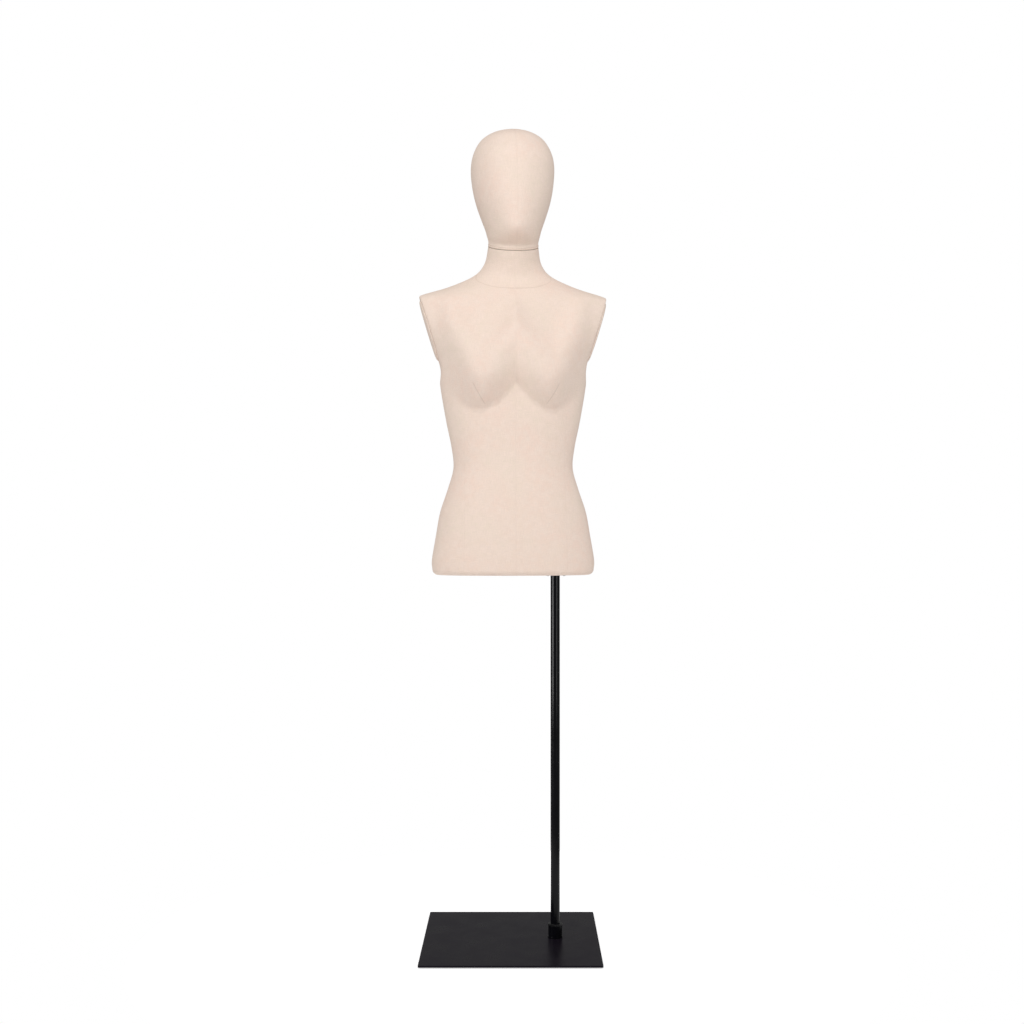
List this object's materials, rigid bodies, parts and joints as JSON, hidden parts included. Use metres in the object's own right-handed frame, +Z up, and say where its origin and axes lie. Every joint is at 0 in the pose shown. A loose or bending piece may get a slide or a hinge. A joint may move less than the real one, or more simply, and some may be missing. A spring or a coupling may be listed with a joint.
{
  "type": "display bust form",
  "caption": "Cloth-covered female bust form with a plain egg-shaped head, on an off-centre round pole and a flat square base plate.",
  "frame": {"origin": "on the floor, under the middle of the square base plate", "axes": "+Z up; -Y is the way the form's front looks, give or take its small turn on the pole; +X to the form's left, where the pole stands"},
  "size_m": [0.4031, 0.375, 1.741],
  "materials": {
    "cloth": "fine matt cotton jersey, off-white with a pink-beige cast",
    "shell": "moulded glass-fibre and resin, rough inside",
    "wood": "bare birch plywood",
    "steel": "bright zinc-plated steel",
    "black_paint": "black powder coat, satin",
    "black_plastic": "black nylon",
    "rubber": "black rubber"
  },
  "bodies": {
    "base": {"base_plate": "black_paint", "base_feet": "rubber", "base_bolt": "steel", "base_spigot": "steel", "pole_collar": "black_paint", "collar_bush": "black_plastic", "collar_set_screw": "steel"},
    "pole": {"pole": "black_paint", "pole_top_plug": "black_plastic"},
    "torso": {"torso_shell_front": "shell", "torso_shell_back": "shell", "torso_cover": "cloth", "bottom_board": "wood", "bottom_cloth": "cloth", "waist_brace": "wood", "pole_socket": "steel", "socket_stop": "steel", "socket_flange": "steel", "flange_screws": "steel", "arm_board_left": "wood", "arm_board_right": "wood", "arm_cloth_left": "cloth", "arm_cloth_right": "cloth", "neck_block": "wood"},
    "neck_cap": {"cap_board": "wood", "cap_cloth": "cloth", "cap_magnet": "steel", "pivot_bolt": "steel", "pivot_nut": "steel"},
    "head": {"head_shell_front": "shell", "head_shell_back": "shell", "head_cover": "cloth", "head_plug": "wood", "head_base_cloth": "cloth", "head_magnet": "steel"}
  },
  "joints": [
    {"name": "pole_turn", "type": "hinge", "parent": "base", "child": "pole", "pos_m": [0.095, 0, 0.006], "axis": [0, 0, 1], "continuous": true},
    {"name": "torso_lift", "type": "slide", "parent": "pole", "child": "torso", "axis": [0, 0, 1], "range_m": [0, 0.28]},
    {"name": "head_turn", "type": "hinge", "parent": "torso", "child": "neck_cap", "pos_m": [0.00464, -0.01233, 1.494], "axis": [0.0239, -0.3412, 0.9397], "continuous": true},
    {"name": "head_lift", "type": "slide", "parent": "neck_cap", "child": "head", "axis": [0.0239, -0.3412, 0.9397], "range_m": [0, 0.15]}
  ]
}
